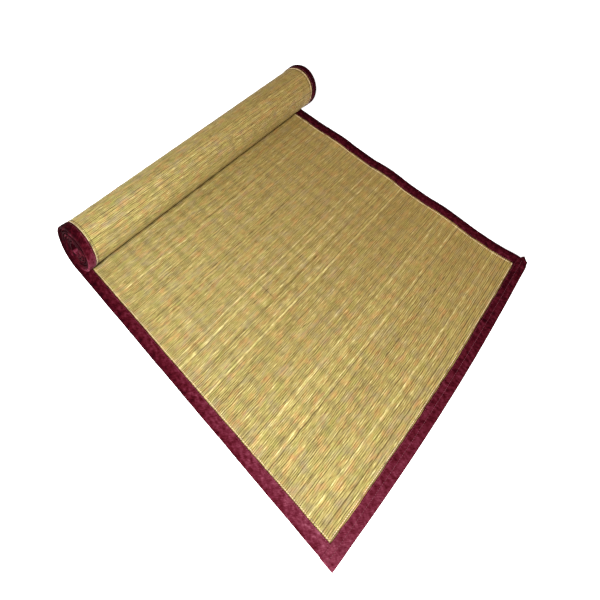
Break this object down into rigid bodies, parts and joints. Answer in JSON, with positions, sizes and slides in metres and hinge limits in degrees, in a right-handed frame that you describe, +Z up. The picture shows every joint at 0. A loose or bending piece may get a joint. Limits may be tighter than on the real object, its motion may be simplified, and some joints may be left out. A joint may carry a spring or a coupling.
{
  "type": "woven grass mat",
  "caption": "Rectangular woven grass floor mat with folded cloth tape round its edges, part lying flat and the rest wound into a roll.",
  "frame": {"origin": "middle of the part's bounding box, on the surface that it lies on", "axes": "+Z up, +X across the mat along the grass strands, +Y from the near end towards the roll"},
  "size_m": [0.6672, 0.651, 0.0944],
  "materials": {
    "dried_grass_weave": "dry matt stems with a faint waxy shine",
    "maroon_cotton_tape": "plain woven cotton, matt"
  },
  "bodies": {
    "root": {"woven_grass_panel": "dried_grass_weave", "left_side_binding": "maroon_cotton_tape", "right_side_binding": "maroon_cotton_tape", "near_end_binding": "maroon_cotton_tape", "inner_end_binding": "maroon_cotton_tape"}
  },
  "joints": []
}
